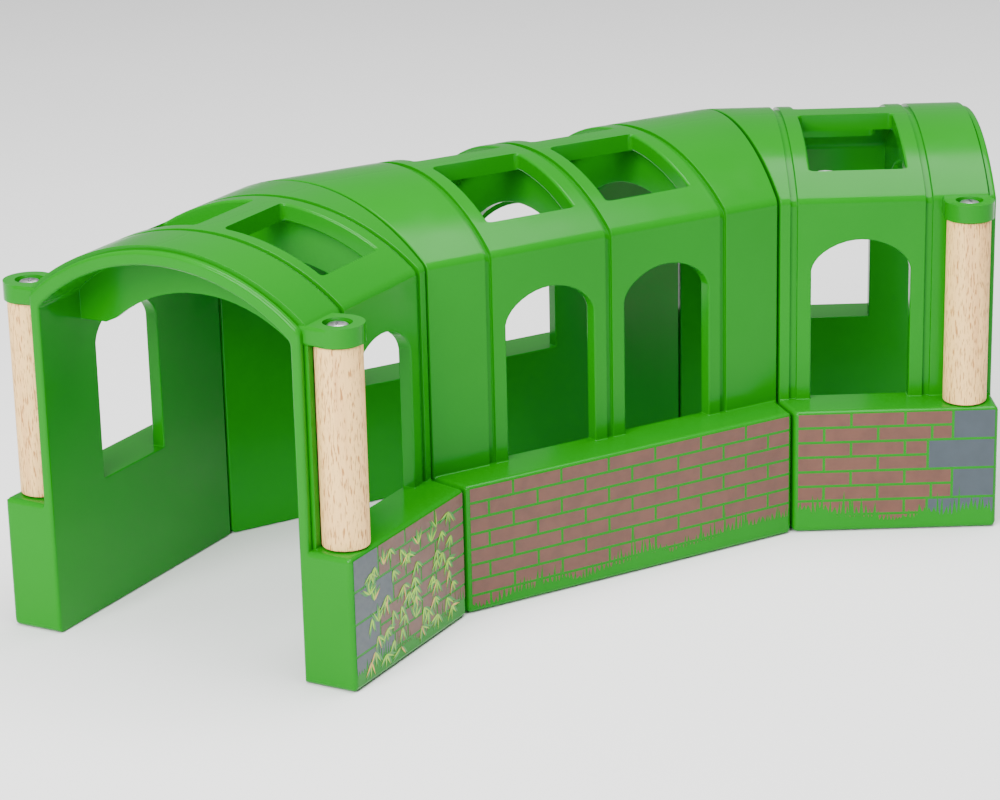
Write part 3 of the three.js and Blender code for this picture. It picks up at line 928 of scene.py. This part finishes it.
def print_leaves(section, side):
    """Sprigs of leaves over one face's brickwork, each leaf on a larger, darker one."""
    s = sizes()
    rng = random.Random(LEAF_SEED + side)
    sheet, warm, under = (Print(section, side) for _ in range(3))
    u_low, u_high = SPRIG_MARGIN, sheet.length - SPRIG_MARGIN
    rows = math.ceil(s.sprigs / SPRIGS_IN_ROW)

    def fits(outline):
        return all(LEAF_MARGIN < pu < sheet.length - LEAF_MARGIN and LEAF_MARGIN < pz < LEAF_TOP
                   for pu, pz in outline)

    for i in range(s.sprigs):
        row, place = divmod(i, SPRIGS_IN_ROW)
        across = place + 0.5 + rng.uniform(-0.38, 0.38)
        u = u_low + (u_high - u_low) * across / SPRIGS_IN_ROW
        z = SPRIG_LOW + SPRIG_BAND * (row + 0.5 + rng.uniform(-0.4, 0.4)) / rows
        heading = rng.choice((-1, -1, -1, 1)) * math.pi / 2 + rng.uniform(-0.45, 0.45)
        count = rng.choice((2, 3, 3, 4))
        for k in range(count):
            angle = heading + (k - (count - 1) / 2) * rng.uniform(0.50, 0.80)
            size = s.leaf_length / MM * rng.uniform(0.75, 1.15)
            width = rng.uniform(0.55, 0.80)
            outline = leaf_outline(u, z, angle, size, width)
            order = (5 * i + k) / (5 * s.sprigs)
            shadow = leaf_outline(u, z, angle + SHADOW_TURN, SHADOW_LENGTH * size,
                                  SHADOW_WIDTH * width)
            if fits(shadow):
                under.patch(shadow, lift=SHADOW_LIFT + SHADOW_LIFT_RANGE * order)
            if fits(outline):
                target = warm if rng.random() < WARM_SHARE else sheet
                target.patch(outline, lift=LEAF_LIFT + LEAF_LIFT_RANGE * order)
    under.finish("foliage", ink_material("Foliage ink", "foliage", 0.15))
    sheet.finish("leaves", ink_material("Leaf ink", "leaf", 0.2))
    warm.finish("warm_leaves", ink_material("Warm leaf ink", "leaf_tip", 0.2))


# ---- Posts and screws -----------------------------------------------------------------------

def add_post(section, side_name):
    """One turned post with eased ends and a pilot hole in each."""
    node = f"{section}_{side_name}_post"
    low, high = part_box(node)
    centre = (low + high) / 2
    radius = (high.x - low.x) / 2 / MM
    tall = (high.z - low.z) / MM
    profile = [(0, 0), (radius - POST_EDGE, 0), (radius - POST_EDGE_MIDDLE, POST_EDGE_MIDDLE),
               (radius, POST_EDGE), (radius, tall - POST_EDGE),
               (radius - POST_EDGE_MIDDLE, tall - POST_EDGE_MIDDLE),
               (radius - POST_EDGE, tall), (0, tall)]
    obj = to_object(lathe(profile, 64), f"{node}_wood")
    for z0, z1 in ((-1, PILOT_DEPTH), (tall - PILOT_DEPTH, tall + 1)):
        tool = to_object(prism(circle(0, 0, SCREW_HOLE_RADIUS, 16), z0, z1), "pilot")
        combine(obj, tool, "DIFFERENCE")
    obj.data.transform(Matrix.Translation((centre.x, centre.y, low.z)))
    smooth(obj)
    finish_piece(obj, f"{section}_section", beech_material(), "beech", node)


def screw_object(name, length_mm):
    """A pan-head screw, bearing face at z = 0, with a turned thread and a cross recess."""
    profile = [(0, -length_mm), (0.5, -length_mm + 1.2)]
    z = -length_mm + 1.4
    while z < -1.6:
        share = min((z + length_mm) / THREAD_TAPER, 1.0)
        profile += [(0.55 + 0.55 * share, z), (0.7 + 0.8 * share, z + 0.35)]
        z += THREAD_PITCH
    profile += [(1.2, -0.8), *SCREW_HEAD_PROFILE]
    obj = to_object(lathe(profile, 40), name)
    bar = [(x * CROSS_HALF_LENGTH, y * CROSS_HALF_WIDTH)
           for x, y in ((-1, -1), (1, -1), (1, 1), (-1, 1))]
    for turn in (0, math.pi / 2):
        tool = to_object(prism(bar, CROSS_FLOOR, SCREW_HEAD + 1), "cross")
        tool.data.transform(Matrix.Rotation(turn, 4, "Z"))
        combine(obj, tool, "DIFFERENCE")
    return obj


def add_screw(section, node, length_mm, turn, upside_down):
    """One screw with its head at the outer end of its node's box."""
    low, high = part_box(node)
    centre = (low + high) / 2
    obj = screw_object(f"{node}_zinc", length_mm)
    flip = Matrix.Rotation(math.pi, 4, "X") if upside_down else Matrix.Identity(4)
    seat = low.z + SCREW_HEAD * MM if upside_down else high.z - SCREW_HEAD * MM
    obj.data.transform(Matrix.Translation((centre.x, centre.y, seat))
                       @ Matrix.Rotation(turn, 4, "Z") @ flip)
    smooth(obj, 40)
    finish_piece(obj, f"{section}_section", zinc_material(), "zinc", node)


# ---- Operators ------------------------------------------------------------------------------

class TUNNEL_OT_shells(bpy.types.Operator):
    """Mould the three section shells with their rounded edges"""
    bl_idname = "tunnel.shells"
    bl_label = "Section shells"

    def execute(self, context):
        for section in SECTIONS:
            add_shell(section)
        return {"FINISHED"}


class TUNNEL_OT_base_plates(bpy.types.Operator):
    """Finish the base plates in the shells' plastic"""
    bl_idname = "tunnel.base_plates"
    bl_label = "Base plates"

    def execute(self, context):
        for name, node in frame["nodes"].items():
            if name.endswith("_base_plate"):
                node.data.materials.clear()
                node.data.materials.append(plastic_material())
        return {"FINISHED"}


class TUNNEL_OT_posts(bpy.types.Operator):
    """Turn the four beech posts"""
    bl_idname = "tunnel.posts"
    bl_label = "Beech posts"

    def execute(self, context):
        for section in ("front", "rear"):
            for side_name in SIDES:
                add_post(section, side_name)
        return {"FINISHED"}


class TUNNEL_OT_screws(bpy.types.Operator):
    """Drive the screws at the top and the foot of each post"""
    bl_idname = "tunnel.screws"
    bl_label = "Post screws"

    def execute(self, context):
        rng = random.Random(5)
        for section in ("front", "rear"):
            for side_name in SIDES:
                post = f"{section}_{side_name}_post"
                add_screw(section, f"{post}_top_screw", TOP_SCREW, rng.uniform(0, 1.5), False)
                add_screw(section, f"{post}_base_screw", BASE_SCREW, rng.uniform(0, 1.5), True)
        return {"FINISHED"}


class TUNNEL_OT_brickwork(bpy.types.Operator):
    """Print the bricks and corner stones on the plinths' outer faces"""
    bl_idname = "tunnel.brickwork"
    bl_label = "Printed brickwork"

    def execute(self, context):
        for section in SECTIONS:
            for side in SIDES.values():
                print_bricks(section, side)
        return {"FINISHED"}


class TUNNEL_OT_leaves(bpy.types.Operator):
    """Print the leaf sprigs over the front section's brickwork"""
    bl_idname = "tunnel.leaves"
    bl_label = "Printed leaves"

    def execute(self, context):
        for side in SIDES.values():
            print_leaves("front", side)
        return {"FINISHED"}


def area_light(name, location, target, size, power):
    """A round lamp that faces the target."""
    light = bpy.data.lights.new(name, "AREA")
    light.shape = "DISK"
    light.size = size
    light.energy = power
    obj = bpy.data.objects.new(name, light)
    obj.location = location
    obj.rotation_mode = "QUATERNION"
    obj.rotation_quaternion = (Vector(target) - Vector(location)).to_track_quat("-Z", "Y")
    bpy.context.scene.collection.objects.link(obj)


class TUNNEL_OT_stage(bpy.types.Operator):
    """Set the pale floor, the soft light and the camera"""
    bl_idname = "tunnel.stage"
    bl_label = "Stage"

    def execute(self, context):
        low, high = CAD_BOX
        centre = (low + high) / 2
        bm = bmesh.new()
        bmesh.ops.create_grid(bm, x_segments=2, y_segments=2, size=FLOOR_HALF)
        mesh = bpy.data.meshes.new("studio_floor")
        bm.to_mesh(mesh)
        bm.free()
        floor = bpy.data.objects.new("studio_floor", mesh)
        context.scene.collection.objects.link(floor)
        floor.location.z = low.z - FLOOR_GAP
        n = Nodes("Studio paper")
        paper = tuple(colours().floor)
        n.tint(n.noise(6, 2), [(0.3, shade(paper, 0.99)), (0.7, shade(paper, 1.01))])
        n.set(Roughness=0.9)
        mesh.materials.append(n.material)
        world = bpy.data.worlds.new("studio")
        context.scene.world = world
        world.use_nodes = True
        background = world.node_tree.nodes["Background"]
        background.inputs["Color"].default_value = (1, 1, 1, 1)
        background.inputs["Strength"].default_value = WORLD_STRENGTH
        for name, location, size, power in LIGHTS:
            area_light(name, location, centre, size, power)
        add_camera()
        return {"FINISHED"}


def add_camera():
    """A long lens on the inside of the bend, in front of the front section's portal."""
    spot = section_matrix("front") @ Vector(CAMERA_SPOT)
    yaw, pitch, roll = (math.radians(a) for a in (CAMERA_YAW, CAMERA_PITCH, CAMERA_ROLL))
    look = Vector((math.sin(yaw) * math.cos(pitch), math.cos(yaw) * math.cos(pitch),
                   math.sin(pitch)))
    right = Vector((math.cos(yaw), -math.sin(yaw), 0))
    up = right.cross(look)
    right, up = (math.cos(roll) * right + math.sin(roll) * up,
                 -math.sin(roll) * right + math.cos(roll) * up)
    turn = section_matrix("front").to_3x3() * (1 / MM)
    axes = Matrix((turn @ right, turn @ up, turn @ -look)).transposed()
    camera = bpy.data.cameras.new("camera")
    camera.lens = CAMERA_LENS
    camera.sensor_width = 36
    camera.shift_x, camera.shift_y = CAMERA_SHIFT
    camera.clip_start, camera.clip_end = 0.01, 20
    obj = bpy.data.objects.new("camera", camera)
    bpy.context.scene.collection.objects.link(obj)
    obj.matrix_world = Matrix.Translation(spot) @ axes.to_4x4()
    bpy.context.scene.camera = obj


class TUNNEL_PT_panel(bpy.types.Panel):
    """Lists the tunnel's pieces and the sizes they are made to"""
    bl_idname = "TUNNEL_PT_panel"
    bl_label = "Toy railway tunnel"
    bl_space_type = "VIEW_3D"
    bl_region_type = "UI"
    bl_category = "Tunnel"

    def draw(self, context):
        for operator in OPERATORS:
            self.layout.operator(operator.bl_idname)
        for group in (context.scene.tunnel_sizes, context.scene.tunnel_colours):
            for name in group.bl_rna.properties.keys():
                if name not in {"rna_type", "name"}:
                    self.layout.prop(group, name)


OPERATORS = (TUNNEL_OT_stage, TUNNEL_OT_shells, TUNNEL_OT_base_plates, TUNNEL_OT_posts,
             TUNNEL_OT_screws, TUNNEL_OT_brickwork, TUNNEL_OT_leaves)
CLASSES = (TunnelSizes, TunnelColours, *OPERATORS, TUNNEL_PT_panel)


def register():
    for cls in CLASSES:
        bpy.utils.register_class(cls)
    bpy.types.Scene.tunnel_sizes = PointerProperty(type=TunnelSizes)
    bpy.types.Scene.tunnel_colours = PointerProperty(type=TunnelColours)


def unregister():
    del bpy.types.Scene.tunnel_colours
    del bpy.types.Scene.tunnel_sizes
    for cls in reversed(CLASSES):
        bpy.utils.unregister_class(cls)


def main():
    register()
    bpy.ops.tunnel.stage()
    bpy.ops.tunnel.shells()
    bpy.ops.tunnel.base_plates()
    bpy.ops.tunnel.posts()
    bpy.ops.tunnel.screws()
    bpy.ops.tunnel.brickwork()
    bpy.ops.tunnel.leaves()


if __name__ == "__main__":
    main()
